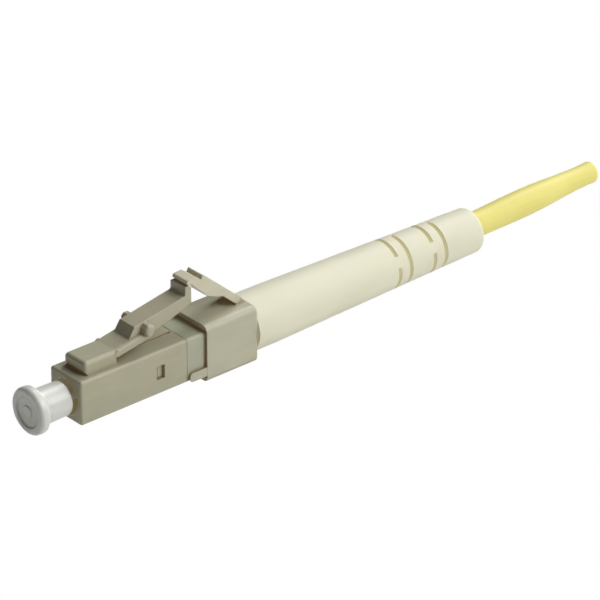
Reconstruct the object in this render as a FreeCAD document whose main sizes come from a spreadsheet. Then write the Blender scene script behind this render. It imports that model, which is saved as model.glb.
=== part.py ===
"""LC fibre connector for a 3 mm cord, with its latch, its trigger clip, its boot and its dust cap.

Units are millimetres.  X runs along the fibre toward the cord, Z points up toward the latch, and
the origin lies on the fibre's axis in the plane of the plug body's front face.
"""
import FreeCAD, Part

import math
import os
import re

import Sketcher
from FreeCAD import Placement, Rotation, Vector

# Driving dimensions: name, value and what it measures.
SIZES = (
    ("fit_gap", 0.03, "gap on each side of a piece that slides or rests in another"),
    ("seam_gap", 0.02, "gap between a flexing arm and the block that it grows from"),
    ("small_round", 0.08, "edge rounding on small moulded details"),
    ("seam_chamfer", 0.05, "chamfer that marks the seam between two moulded bodies"),
    # Plug body
    ("housing_width", 4.52, "side of the square plug body"),
    ("housing_length", 12.5, "plug body, front face to rear seam"),
    ("housing_round", 0.3, "rounding on the plug body's long edges and front edge"),
    ("front_bore", 3.6, "diameter of the open front bore"),
    ("front_bore_depth", 2.0, "depth of the front bore"),
    ("bulkhead_thickness", 0.7, "wall that the ferrule's collar seats on"),
    ("bulkhead_hole", 1.9, "hole in that wall for the ferrule"),
    ("chamber_bore", 3.16, "diameter of the spring chamber"),
    ("hex_seat_depth", 1.2, "length of the hexagonal seat for the collar"),
    ("insert_length", 4.3, "length of the rear body's insert"),
    ("insert_width", 3.56, "side of the rear body's square insert"),
    ("window_setback", 0.67, "distance from the insert's front to a side window"),
    ("window_length", 0.97, "length of a side window"),
    ("window_height", 1.42, "height of a side window"),
    ("groove_start", 6.0, "front end of the shallow groove under the latch"),
    ("groove_stop", 0.2, "distance from that groove's rear end to the rear seam"),
    ("groove_width", 0.3, "width of that groove"),
    ("groove_depth", 0.22, "depth of that groove"),
    # Latch
    ("block_start", 1.08, "front of the block that carries the latch"),
    ("block_width", 3.06, "width of that block"),
    ("block_top", 3.6, "height of its top face above the axis"),
    ("block_undercut", 0.28, "how far its foot lies behind its nose"),
    ("block_round", 0.4, "rounding on its top edges and on the latch arm's lower plate"),
    ("block_corner", 0.3, "rounding on its upright front edges"),
    ("slit_end", 4.75, "front end of the slit under the latch arm"),
    ("slit_round", 0.3, "rounding at the foot of the slit's end"),
    ("latch_hinge_run", 0.25, "distance from the slit's end to the latch's flexing line"),
    ("latch_knuckle", 0.34, "radius of the latch arm's root"),
    ("latch_pitch", 0.18, "rise of the latch arm for each millimetre along the plug"),
    ("plate_thickness", 0.72, "height of the lower plate at the step"),
    ("step_start", 6.6, "foot of the step in front of the upper rib"),
    ("step_length", 0.7, "run of that step"),
    ("step_height", 1.05, "rise of that step"),
    ("rib_width", 2.16, "width of the latch arm's upper rib"),
    ("ear_start", 8.0, "front of the latch's two ears"),
    ("ear_length", 1.05, "length of an ear along the plug"),
    ("ear_bottom", 3.9, "height of an ear's lower face"),
    ("ear_top", 5.05, "height of an ear's top"),
    ("ear_span", 3.9, "width over both ears"),
    ("ear_corner", 0.3, "bevel along the ears' corners"),
    ("ear_round", 0.32, "rounding on the ears' ends"),
    ("post_start", 13.35, "front of the post at the latch's tail"),
    ("post_foot_round", 0.2, "rounding at the foot of the post"),
    ("tail_end", 14.05, "rear face of the latch's tail"),
    ("post_top", 6.95, "height of the post's top"),
    ("post_drop", 0.2, "chamfer on the post's rear top edge"),
    ("tail_bottom", 5.12, "height of the tail's lower edge"),
    ("taper_start", 11.5, "where the latch arm's underside begins to taper up"),
    # Ferrule group
    ("ferrule_diameter", 1.249, "standard ferrule"),
    ("ferrule_length", 6.5, "length of the ferrule"),
    ("ferrule_reach", 2.2, "how far the ferrule stands out of the plug body"),
    ("ferrule_chamfer", 0.3, "length of the ferrule's front chamfer"),
    ("collar_flats", 2.6, "width across the flats of the hexagonal collar"),
    ("collar_length", 1.0, "length of the collar"),
    ("barrel_diameter", 1.7, "diameter of the barrel behind the collar"),
    ("barrel_length", 2.2, "length of the barrel"),
    ("funnel_length", 0.5, "length of the cone between ferrule and guide tube"),
    ("tube_diameter", 1.3, "outside of the guide tube"),
    ("tube_bore", 0.98, "inside of the guide tube"),
    ("tube_reach", 1.5, "how far the guide tube reaches behind the rear seam"),
    ("spring_wire", 0.24, "diameter of the spring's wire"),
    ("spring_mean", 2.16, "mean diameter of the spring"),
    ("spring_turns", 6, "turns of the spring"),
    # Rear body and crimp
    ("collar_reach", 4.6, "length of the rear body's square collar behind the rear seam"),
    ("stem_diameter", 2.96, "outside of the knurled crimp stem"),
    ("stem_length", 5.3, "length of the crimp stem"),
    ("stem_bore", 1.7, "bore through the rear body"),
    ("stem_ridges", 7, "ridges round the crimp stem"),
    ("ridge_depth", 0.1, "depth of the grooves between those ridges"),
    ("catch_reach", 0.16, "how far the side catches stand out of the insert"),
    ("catch_gap", 0.06, "gap round a catch in its window"),
    ("yarn_layer", 0.14, "thickness of the aramid yarn on the stem"),
    ("crimp_wall", 0.28, "wall of the crimp ring"),
    ("crimp_setback", 0.4, "distance from the square collar to the crimp ring"),
    ("crimp_neck_setback", 0.7, "distance from the stem's end to where the ring narrows"),
    ("crimp_grip", 2.5, "length of the crimp ring on the cord"),
    # Clip and trigger
    ("clip_setback", 2.15, "distance from the rear seam to the clip's front rim"),
    ("clip_length", 6.2, "length of the clip"),
    ("clip_width", 5.2, "width of the clip"),
    ("clip_top", 2.95, "height of the clip's top above the axis"),
    ("clip_bottom", 2.9, "depth of the clip's underside below the axis"),
    ("clip_top_round", 0.75, "rounding on the clip's upper edges"),
    ("clip_bottom_round", 0.5, "rounding on the clip's lower edges"),
    ("clip_rear_round", 0.28, "rounding on the clip's rear edge"),
    ("clip_rim_gap", 0.22, "gap between the clip's flared mouth and the rear body"),
    ("clip_rim_depth", 0.8, "depth of that flared mouth"),
    ("clip_bore", 4.7, "bore at the clip's rear for the boot's neck"),
    ("web_gap", 0.1, "gap between the square collar and the end of the clip's hollow"),
    ("tab_gap", 0.12, "distance from the rear seam to the clip's two side tabs"),
    ("tab_top", 1.3, "depth of the tabs' upper edge below the axis"),
    ("tab_bottom", 2.2, "depth of the tabs' lower edge below the axis"),
    ("trigger_setback", 1.23, "distance from the clip's rear face to the trigger's flexing line"),
    ("trigger_lift", 0.49, "height of that line above the clip's top"),
    ("trigger_knuckle", 0.38, "radius of the trigger's root"),
    ("trigger_width", 2.1, "width of the trigger arm and its pad"),
    ("pad_cover", 0.47, "how far the trigger's pad reaches over the latch's tail"),
    ("pad_gap", 0.08, "gap between the pad and the latch's post"),
    ("pad_thickness", 0.52, "thickness of the pad"),
    ("pad_length", 1.05, "length of the pad's level top"),
    ("groove_run", 0.62, "distance from there to the bottom of the thumb groove"),
    ("groove_drop", 0.4, "depth of that groove below the pad's top"),
    ("ridge_run", 0.2, "distance from the groove to the crest of the thumb ridge"),
    ("ridge_rise", 0.36, "rise of that crest above the groove"),
    ("pad_round", 0.22, "rounding on the pad's front"),
    # Boot
    ("boot_length", 29.15, "length of the boot behind the clip"),
    ("boot_front_diameter", 5.72, "boot at the clip"),
    ("boot_end_diameter", 4.54, "boot at its rear end"),
    ("boot_parallel", 3.15, "length of the boot's parallel front"),
    ("boot_end_round", 0.5, "rounding at the boot's rear end"),
    ("boot_neck", 4.64, "boot's neck inside the clip"),
    ("boot_neck_length", 2.85, "length of that neck"),
    ("boot_bore", 2.84, "boot's bore round the cord"),
    ("boot_mouth", 3.36, "boot's bore at its rear end"),
    ("boot_mouth_length", 10.0, "length of the widening bore"),
    ("slot_setback", 11.5, "distance from the first ring of slots to the boot's rear end"),
    ("slot_step", 1.45, "distance between slots 1 and 2, and between slots 3 and 4"),
    ("slot_group_step", 4.6, "distance between the two groups of slots"),
    ("slot_length", 0.44, "width of a slot along the boot"),
    ("slot_depth", 0.6, "depth of a slot"),
    ("slot_bridge", 26, "angle of the bridge between two slots of a ring, in degrees"),
    ("slot_turn", 28, "angle of the first ring's bridge above the side of the boot, in degrees"),
    # Cord
    ("cord_diameter", 2.64, "outside of the cord's jacket"),
    ("jacket_bore", 1.6, "inside of the jacket"),
    ("jacket_setback", 0.9, "distance from the stem's end to the jacket"),
    ("cord_bend_setback", 15.8, "distance from where the cord starts to rise to the boot's end"),
    ("cord_bend_run", 9.0, "half the length of the bend"),
    ("cord_stub", 16.25, "length of the cord behind the boot"),
    ("cord_rise", 0.85, "height of the cord's end above the axis"),
    ("cord_swell", 2.76, "jacket diameter at its slight swelling behind the boot"),
    ("cord_swell_setback", 7.5, "distance from the boot to that swelling"),
    ("cord_tip_diameter", 2.26, "jacket where it narrows at the cut end"),
    ("cord_tip_length", 3.4, "length of the evenly narrow tip"),
    ("cord_tip_round", 0.28, "rounding at the jacket's cut end"),
    ("core_recess", 0.5, "how far yarn and fibre lie inside the cut end"),
    ("buffer_diameter", 0.9, "tight buffer"),
    ("coating_diameter", 0.25, "coated fibre"),
    ("glass_diameter", 0.125, "glass fibre"),
    # Dust cap
    ("cap_front", 4.55, "distance from the plug's face to the cap's front"),
    ("cap_flange", 4.7, "diameter of the cap's flange"),
    ("cap_flange_length", 1.0, "thickness of the flange"),
    ("cap_front_round", 0.42, "rounding on the rim's front edge"),
    ("cap_rear_round", 0.2, "rounding on the rim's rear edge"),
    ("cap_neck", 3.52, "diameter of the cap's tube behind the flare"),
    ("cap_tube", 3.4, "diameter of the cap's tube at the plug"),
    ("cap_flare_length", 0.6, "length of the concave flare behind the flange"),
    ("cap_stop", 0.4, "gap between the cap's tube and the plug's face"),
    ("cap_grip_gap", 0.02, "gap between the cap's bore and the ferrule"),
    ("cap_dish", 3.2, "diameter of the dish in the cap's front"),
    ("cap_dish_depth", 0.14, "depth of that dish"),
    ("cap_boss", 1.3, "diameter of the low boss in the dish"),
    ("cap_boss_height", 0.09, "height of that boss"),
    ("cap_wall", 0.5, "cap wall in front of the ferrule's tip"),
)
# Places that follow from the sizes.
PLACES = (
    ("insert_front", "housing_length - insert_length"),
    ("window_start", "insert_front + window_setback"),
    ("groove_end", "housing_length - groove_stop"),
    ("tube_end", "housing_length + tube_reach"),
    ("stem_start", "housing_length + collar_reach"),
    ("stem_end", "stem_start + stem_length"),
    ("crimp_start", "stem_start + crimp_setback"),
    ("crimp_neck", "stem_end + crimp_neck_setback"),
    ("crimp_end", "crimp_neck + crimp_grip"),
    ("jacket_start", "stem_end + jacket_setback"),
    ("clip_start", "housing_length + clip_setback"),
    ("clip_end", "clip_start + clip_length"),
    ("clip_web_start", "stem_start + web_gap"),
    ("tab_start", "housing_length + tab_gap"),
    ("trigger_hinge_x", "clip_end - trigger_setback"),
    ("trigger_hinge_z", "clip_top + trigger_lift"),
    ("pad_start", "tail_end - pad_cover"),
    ("pad_bottom", "post_top + pad_gap"),
    ("pad_top", "pad_bottom + pad_thickness"),
    ("groove_x", "pad_start + pad_length + groove_run"),
    ("groove_z", "pad_top - groove_drop"),
    ("crest_x", "groove_x + ridge_run"),
    ("crest_z", "groove_z + ridge_rise"),
    ("boot_end", "clip_end + boot_length"),
    ("boot_taper_start", "clip_end + boot_parallel"),
    ("boot_neck_start", "clip_end - boot_neck_length"),
    ("boot_mouth_start", "boot_end - boot_mouth_length"),
    ("slot_first", "boot_end - slot_setback"),
    ("cord_bend_start", "boot_end - cord_bend_setback"),
    ("cord_bend", "cord_bend_start + cord_bend_run"),
    ("cord_swell_at", "boot_end + cord_swell_setback"),
    ("cord_end", "boot_end + cord_stub"),
)

document = FreeCAD.newDocument("FibreConnector")
BODIES = []
VALUES = {}


def write_sheet():
    """Put every size and place into the spreadsheet, with its alias and its meaning."""
    sheet = document.addObject("Spreadsheet::Sheet", "Sizes")
    places = tuple((name, "=" + text, "follows from the sizes") for name, text in PLACES)
    for row, (name, value, meaning) in enumerate(SIZES + places, start=1):
        sheet.set("A%d" % row, name)
        sheet.setAlias("B%d" % row, name)
        sheet.set("B%d" % row, str(value))
        sheet.set("C%d" % row, meaning)
    document.recompute()
    for name, value, meaning in SIZES + places:
        VALUES[name] = float(sheet.get(name))


def formula(text):
    """Turn the size names in a formula into references to the spreadsheet."""
    def reference(match):
        word = match.group(0)
        return "Sizes." + word if word in VALUES else word
    return re.sub(r"[a-z_]+", reference, text)


def bind(item, prop, text):
    """Bind one property to a formula of the driving dimensions."""
    item.setExpression(prop, formula(text))


def new_body(label):
    """Start a sub-part; its label becomes the node's name."""
    body = document.addObject("PartDesign::Body", label)
    body.Label = label
    BODIES.append(body)
    return body


def new_sketch(body, plane, name, offset=None, turn=None):
    """Attach a sketch to one of the body's own origin planes."""
    support = next(item for item in body.Origin.OriginFeatures if item.Role == plane)
    sketch = body.newObject("Sketcher::SketchObject", name)
    sketch.AttachmentSupport = [(support, "")]
    sketch.MapMode = "FlatFace"
    if offset is not None:
        bind(sketch, "AttachmentOffset.Base.z", offset)
    if turn is not None:
        sketch.AttachmentOffset = Placement(Vector(), Rotation(Vector(1, 0, 0), 0))
        bind(sketch, "AttachmentOffset.Rotation.Angle", turn)
    return sketch


def fix_point(sketch, geometry, point, across, along):
    """Hold a point of a sketch at two formulas, measured from the sketch's origin."""
    for kind, text in (("DistanceX", across), ("DistanceY", along)):
        index = sketch.addConstraint(Sketcher.Constraint(kind, -1, 1, geometry, point, 1.0))
        bind(sketch, "Constraints[%d]" % index, text)


def add_polygon(sketch, corners):
    """Draw a closed outline through corners that are given as pairs of formulas."""
    first = sketch.GeometryCount
    count = len(corners)
    for index in range(count):
        here = 2 * math.pi * index / count
        there = 2 * math.pi * (index + 1) / count
        start = Vector(math.cos(here), math.sin(here), 0)
        end = Vector(math.cos(there), math.sin(there), 0)
        sketch.addGeometry(Part.LineSegment(start, end), False)
    for index in range(count):
        following = first + (index + 1) % count
        sketch.addConstraint(Sketcher.Constraint("Coincident", first + index, 2, following, 1))
    for index, (across, along) in enumerate(corners):
        fix_point(sketch, first + index, 1, across, along)


def add_box(sketch, left, bottom, right, top):
    """Draw a rectangle between two corners."""
    add_polygon(sketch, ((left, bottom), (right, bottom), (right, top), (left, top)))


def add_circle(sketch, radius, across="0", along="0"):
    """Draw a circle round a centre."""
    index = sketch.addGeometry(Part.Circle(Vector(0, 0, 0), Vector(0, 0, 1), 1.0), False)
    fix_point(sketch, index, 3, across, along)
    size = sketch.addConstraint(Sketcher.Constraint("Radius", index, 1.0))
    bind(sketch, "Constraints[%d]" % size, radius)


def add_hexagon(sketch, flats):
    """Draw a hexagon with two flats level, from its width across flats."""
    corners = []
    for step in range(6):
        angle = 60 * step
        corners.append(("(%s) / sqrt(3) * cos(%d)" % (flats, angle),
                        "(%s) / sqrt(3) * sin(%d)" % (flats, angle)))
    add_polygon(sketch, corners)


def pad(body, sketch, length, name, both_ways=False):
    """Add material along the sketch's normal, or half of it each way."""
    feature = body.newObject("PartDesign::Pad", name)
    feature.Profile = sketch
    bind(feature, "Length", length)
    if both_ways:
        feature.SideType = "Symmetric"
    return feature


def pocket(body, sketch, length, name, both_ways=False):
    """Cut along the sketch's normal (toward +X on the YZ plane), or half of it each way."""
    before = solid_of(body).Volume
    feature = body.newObject("PartDesign::Pocket", name)
    feature.Profile = sketch
    bind(feature, "Length", length)
    if both_ways:
        feature.SideType = "Symmetric"
    else:
        feature.Reversed = True
    check_cut(body, before, name)
    return feature


def revolve(body, sketch, name):
    """Turn a profile of the XY plane about the fibre's axis."""
    feature = body.newObject("PartDesign::Revolution", name)
    feature.Profile = sketch
    feature.ReferenceAxis = (sketch, ["H_Axis"])
    feature.Angle = 360
    return feature


def solid_of(body):
    """Recompute, and return the body's shape."""
    document.recompute()
    return body.Shape


def check_cut(body, before, name):
    """Stop when a cut took nothing away."""
    if solid_of(body).Volume > before - 1e-6:
        raise RuntimeError("%s removed nothing" % name)


def edges_where(body, test):
    """Name the edges of the body's shape whose bounding box passes a test."""
    shape = solid_of(body)
    return ["Edge%d" % (index + 1) for index, edge in enumerate(shape.Edges) if test(edge.BoundBox)]


def soften(body, kind, test, size, name):
    """Fillet or chamfer the edges of the body's last feature that pass a test."""
    edges = edges_where(body, test)
    if not edges:
        raise RuntimeError("%s found no edge" % name)
    carrier = body.Tip
    feature = body.newObject("PartDesign::" + kind, name)
    feature.Base = (carrier, edges)
    bind(feature, "Radius" if kind == "Fillet" else "Size", size)
    body.Tip = feature
    return feature


def near(value, target, slack=0.02):
    """Tell whether two lengths agree."""
    return abs(value - target) < slack


def runs_along(box, axis):
    """Tell whether an edge's box is a line along one axis."""
    spans = {"X": box.XLength, "Y": box.YLength, "Z": box.ZLength}
    length = spans.pop(axis)
    return length > 0.05 and max(spans.values()) < 0.01


def at_corner(box, half_across, half_up):
    """Tell whether an edge's box lies at a corner of a section centred on the axis."""
    return near(abs(box.Center.y), half_across) and near(abs(box.Center.z), half_up)


# Plug body

HALF_HOUSING = "housing_width / 2"
REAR_OF_BULKHEAD = "front_bore_depth + bulkhead_thickness"
LATCH_HINGE_X = "slit_end + latch_hinge_run"
LATCH_HINGE_Z = "block_top - seam_gap - latch_knuckle"


def make_front_housing():
    """Square plug body: front bore, collar seat, spring chamber, windows and the latch's block."""
    body = new_body("front_housing")
    half = VALUES["housing_width"] / 2
    length = VALUES["housing_length"]

    outline = new_sketch(body, "YZ_Plane", "housing_outline")
    add_box(outline, "-housing_width / 2", "-housing_width / 2", HALF_HOUSING, HALF_HOUSING)
    pad(body, outline, "housing_length", "housing_block")
    soften(body, "Fillet", lambda box: runs_along(box, "X") and at_corner(box, half, half),
           "housing_round", "long_edges")
    soften(body, "Fillet", lambda box: near(box.XMax, 0, 0.001), "housing_round * 0.8",
           "front_edge")
    soften(body, "Chamfer", lambda box: near(box.XMin, length, 0.001), "seam_chamfer", "rear_seam")

    add_latch_block(body)

    bore = new_sketch(body, "YZ_Plane", "front_bore_outline")
    add_circle(bore, "front_bore / 2")
    pocket(body, bore, "front_bore_depth", "front_bore_cut")
    hole = new_sketch(body, "YZ_Plane", "bulkhead_outline")
    add_circle(hole, "bulkhead_hole / 2")
    pocket(body, hole, REAR_OF_BULKHEAD + " + hex_seat_depth / 2", "bulkhead_cut")
    seat = new_sketch(body, "YZ_Plane", "hex_seat_outline", REAR_OF_BULKHEAD)
    add_hexagon(seat, "collar_flats + 2 * fit_gap")
    pocket(body, seat, "hex_seat_depth + 0.1", "hex_seat_cut")
    chamber = new_sketch(body, "YZ_Plane", "chamber_outline",
                         REAR_OF_BULKHEAD + " + hex_seat_depth")
    add_circle(chamber, "chamber_bore / 2")
    pocket(body, chamber, "housing_length", "chamber_cut")
    rear = new_sketch(body, "YZ_Plane", "rear_hollow_outline", "insert_front")
    add_box(rear, "-insert_width / 2 - fit_gap", "-insert_width / 2 - fit_gap",
            "insert_width / 2 + fit_gap", "insert_width / 2 + fit_gap")
    pocket(body, rear, "housing_length", "rear_hollow_cut")

    window = new_sketch(body, "XZ_Plane", "window_outline")
    add_box(window, "window_start", "-window_height / 2", "window_start + window_length",
            "window_height / 2")
    pocket(body, window, "housing_width * 2", "window_cut", both_ways=True)
    add_latch_groove(body)


def add_latch_block(body):
    """Raised block on the plug body that the latch arm grows from."""
    top = VALUES["block_top"]
    start = VALUES["block_start"]
    side = VALUES["block_width"] / 2
    deck = VALUES["housing_width"] / 2

    profile = new_sketch(body, "XZ_Plane", "latch_block_outline")
    add_polygon(profile, (
        ("block_start + block_undercut", "housing_width / 2 - 0.3"),
        ("block_start + block_undercut", "housing_width / 2 + 0.12"),
        ("block_start", "housing_width / 2 + 0.4"),
        ("block_start", "block_top"),
        ("slit_end", "block_top"),
        ("slit_end", "housing_width / 2 - 0.3"),
    ))
    pad(body, profile, "block_width", "latch_block", both_ways=True)

    def on_top(box):
        open_end = near(box.XMin, VALUES["slit_end"])
        return near(box.ZMin, top) and near(box.ZMax, top) and not open_end
    soften(body, "Fillet",
           lambda box: runs_along(box, "Z") and near(abs(box.Center.y), side)
           and near(box.Center.x, start),
           "block_corner", "latch_block_corners")
    soften(body, "Fillet", on_top, "block_round", "latch_block_top")

    seat = new_sketch(body, "XZ_Plane", "latch_seat_outline")
    add_circle(seat, "latch_knuckle + seam_gap", LATCH_HINGE_X, LATCH_HINGE_Z)
    pocket(body, seat, "block_width * 2", "latch_seat_cut", both_ways=True)
    slit_foot = VALUES["slit_end"]
    soften(body, "Fillet",
           lambda box: runs_along(box, "Y") and near(box.Center.x, slit_foot)
           and near(box.Center.z, deck),
           "slit_round", "slit_end_round")


def add_latch_groove(body):
    """Shallow groove with round ends along the plug body's top, under the latch."""
    outline = new_sketch(body, "XY_Plane", "latch_groove_outline",
                         "housing_width / 2 - groove_depth")
    add_box(outline, "groove_start", "-groove_width / 2", "groove_end", "groove_width / 2")
    pocket(body, outline, "1", "latch_groove")
    start = VALUES["groove_start"]
    end = VALUES["groove_end"]
    half = VALUES["groove_width"] / 2
    soften(body, "Fillet",
           lambda box: runs_along(box, "Z") and near(abs(box.Center.y), half)
           and (near(box.Center.x, start) or near(box.Center.x, end)),
           "groove_width * 0.45", "latch_groove_ends")


# Latch arm

PLATE_BOTTOM_AT_EAR = (LATCH_HINGE_Z + " - latch_knuckle + latch_pitch * (ear_start + ear_length - "
                       + LATCH_HINGE_X.replace("+", "-") + ")")
STEP_FOOT_Z = "block_top + latch_pitch * (step_start - slit_end)"
RIB_TOP_AT_POST = (STEP_FOOT_Z + " + step_height"
                   " + latch_pitch * (post_start - step_start - step_length)")


def make_latch_arm():
    """Springy latch: ears, a lower plate, an upper rib and the post that the trigger presses."""
    body = new_body("latch_arm")
    plate = new_sketch(body, "XZ_Plane", "plate_outline")
    add_polygon(plate, (
        ("slit_end + seam_gap", LATCH_HINGE_Z),
        ("slit_end + seam_gap", "block_top"),
        ("step_start", STEP_FOOT_Z),
        ("ear_start + ear_length", PLATE_BOTTOM_AT_EAR + " + plate_thickness"),
        ("ear_start + ear_length", PLATE_BOTTOM_AT_EAR),
        (LATCH_HINGE_X, LATCH_HINGE_Z + " - latch_knuckle"),
    ))
    pad(body, plate, "block_width", "plate", both_ways=True)
    side = VALUES["block_width"] / 2
    top = VALUES["block_top"]
    soften(body, "Fillet",
           lambda box: near(abs(box.Center.y), side) and box.YLength < 0.01
           and box.ZMin > top - 0.05 and box.XLength > 0.5,
           "block_round", "plate_edges")
    root = new_sketch(body, "XZ_Plane", "root_outline")
    add_circle(root, "latch_knuckle", LATCH_HINGE_X, LATCH_HINGE_Z)
    pad(body, root, "block_width", "root", both_ways=True)
    add_ears(body)

    rib = new_sketch(body, "XZ_Plane", "rib_outline")
    add_polygon(rib, (
        ("step_start", STEP_FOOT_Z),
        ("step_start + step_length", STEP_FOOT_Z + " + step_height"),
        ("post_start", RIB_TOP_AT_POST),
        ("post_start", "post_top"),
        ("tail_end - post_drop", "post_top"),
        ("tail_end", "post_top - post_drop"),
        ("tail_end", "tail_bottom"),
        ("taper_start", PLATE_BOTTOM_AT_EAR + " + (latch_pitch + 0.08) * (taper_start - ear_start"
                                              " - ear_length)"),
        ("ear_start + ear_length", PLATE_BOTTOM_AT_EAR),
        ("step_start", STEP_FOOT_Z + " - plate_thickness / 2"),
    ))
    pad(body, rib, "rib_width", "rib", both_ways=True)

    highest_ear = VALUES["ear_top"]
    rib_side = VALUES["rib_width"] / 2

    def rib_edge(box):
        on_side = near(abs(box.Center.y), rib_side, 0.005) and box.YLength < 0.01
        over_ears = box.ZMin > highest_ear - 0.3 and not near(box.ZMax, highest_ear)
        return on_side and over_ears and box.XLength > 0.3
    soften(body, "Fillet", rib_edge, "small_round", "rib_edges")
    foot = VALUES["post_start"]
    soften(body, "Fillet",
           lambda box: runs_along(box, "Y") and near(box.Center.x, foot)
           and box.Center.z < VALUES["post_top"] - 0.2,
           "post_foot_round", "post_foot")


def add_ears(body):
    """Two rounded ears, one on each side of the latch."""
    ears = new_sketch(body, "XZ_Plane", "ear_outline")
    rear = "ear_start + ear_length"
    add_polygon(ears, (
        ("ear_start + ear_corner", "ear_bottom"),
        (rear + " - ear_corner", "ear_bottom"),
        (rear, "ear_bottom + ear_corner"),
        (rear, "ear_top - ear_corner"),
        (rear + " - ear_corner", "ear_top"),
        ("ear_start + ear_corner", "ear_top"),
        ("ear_start", "ear_top - ear_corner"),
        ("ear_start", "ear_bottom + ear_corner"),
    ))
    pad(body, ears, "ear_span", "ears", both_ways=True)
    half_span = VALUES["ear_span"] / 2
    soften(body, "Fillet", lambda box: near(abs(box.Center.y), half_span, 0.005),
           "ear_round", "ear_ends")


# Ferrule group

FERRULE_TAIL = "ferrule_length - ferrule_reach"
COLLAR_END = REAR_OF_BULKHEAD + " + collar_length"
BARREL_END = COLLAR_END + " + barrel_length"
TUBE_START = FERRULE_TAIL + " + funnel_length"


def make_ferrule():
    """Ceramic ferrule with a chamfered, domed tip and a fibre bore."""
    body = new_body("ferrule")
    profile = new_sketch(body, "XY_Plane", "ferrule_profile")
    add_polygon(profile, (
        ("-ferrule_reach", "glass_diameter / 2"),
        ("-ferrule_reach + 0.02", "ferrule_diameter / 4"),
        ("-ferrule_reach + 0.05", "ferrule_diameter / 2 - ferrule_chamfer * 0.5"),
        ("-ferrule_reach + ferrule_chamfer", "ferrule_diameter / 2"),
        (FERRULE_TAIL + " - 0.15", "ferrule_diameter / 2"),
        (FERRULE_TAIL, "ferrule_diameter / 2 - 0.15"),
        (FERRULE_TAIL, "coating_diameter"),
        (FERRULE_TAIL + " - 0.6", "glass_diameter / 2"),
    ))
    revolve(body, profile, "ferrule_turn")


def make_ferrule_flange():
    """Metal flange: hexagonal collar and barrel, bored for the ferrule and the guide tube."""
    body = new_body("ferrule_flange")
    collar = new_sketch(body, "YZ_Plane", "collar_outline", REAR_OF_BULKHEAD)
    add_hexagon(collar, "collar_flats")
    pad(body, collar, "collar_length", "collar")
    barrel = new_sketch(body, "YZ_Plane", "barrel_outline", REAR_OF_BULKHEAD)
    add_circle(barrel, "barrel_diameter / 2")
    pad(body, barrel, "collar_length + barrel_length", "barrel")

    bores = new_sketch(body, "XY_Plane", "bore_profile")
    add_polygon(bores, (
        (REAR_OF_BULKHEAD + " - 0.1", "0"),
        (REAR_OF_BULKHEAD + " - 0.1", "ferrule_diameter / 2"),
        (FERRULE_TAIL, "ferrule_diameter / 2"),
        (TUBE_START, "buffer_diameter / 2"),
        (TUBE_START, "tube_diameter / 2"),
        (BARREL_END + " + 0.1", "tube_diameter / 2"),
        (BARREL_END + " + 0.1", "0"),
    ))
    before = solid_of(body).Volume
    cut = body.newObject("PartDesign::Groove", "bores")
    cut.Profile = bores
    cut.ReferenceAxis = (bores, ["H_Axis"])
    cut.Angle = 360
    check_cut(body, before, "bores")


def make_sleeve(label, sections):
    """Turn a sleeve from (x, outer radius, inner radius) formulas."""
    body = new_body(label)
    profile = new_sketch(body, "XY_Plane", label + "_profile")
    outer = [(x, outside) for x, outside, inside in sections]
    inner = [(x, inside) for x, outside, inside in reversed(sections)]
    add_polygon(profile, outer + inner)
    revolve(body, profile, label + "_turn")
    return body


def make_guide_tube():
    """Plastic tube that leads the buffered fibre from the flange through spring and rear body."""
    make_sleeve("guide_tube", (
        (TUBE_START, "tube_diameter / 2", "tube_bore / 2"),
        ("tube_end", "tube_diameter / 2", "tube_bore / 2"),
    ))


def make_epoxy_fill():
    """Cured epoxy in the flange's funnel, which holds the coated fibre."""
    make_sleeve("epoxy_fill", (
        (FERRULE_TAIL, "ferrule_diameter / 2", "coating_diameter / 2"),
        (TUBE_START, "buffer_diameter / 2", "coating_diameter / 2"),
    ))


def make_spring():
    """Compression spring between the collar and the rear body."""
    body = new_body("ferrule_spring")
    wire = new_sketch(body, "XY_Plane", "wire_section")
    add_circle(wire, "spring_wire / 2", COLLAR_END + " + spring_wire / 2 + seam_gap",
               "spring_mean / 2")
    coil = body.newObject("PartDesign::AdditiveHelix", "coil")
    coil.Profile = wire
    coil.ReferenceAxis = (wire, ["H_Axis"])
    coil.Mode = "height-turns-angle"
    bind(coil, "Height", "insert_front - (" + COLLAR_END + ") - spring_wire - 2 * seam_gap")
    bind(coil, "Turns", "spring_turns")


# Rear body and crimp

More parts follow.
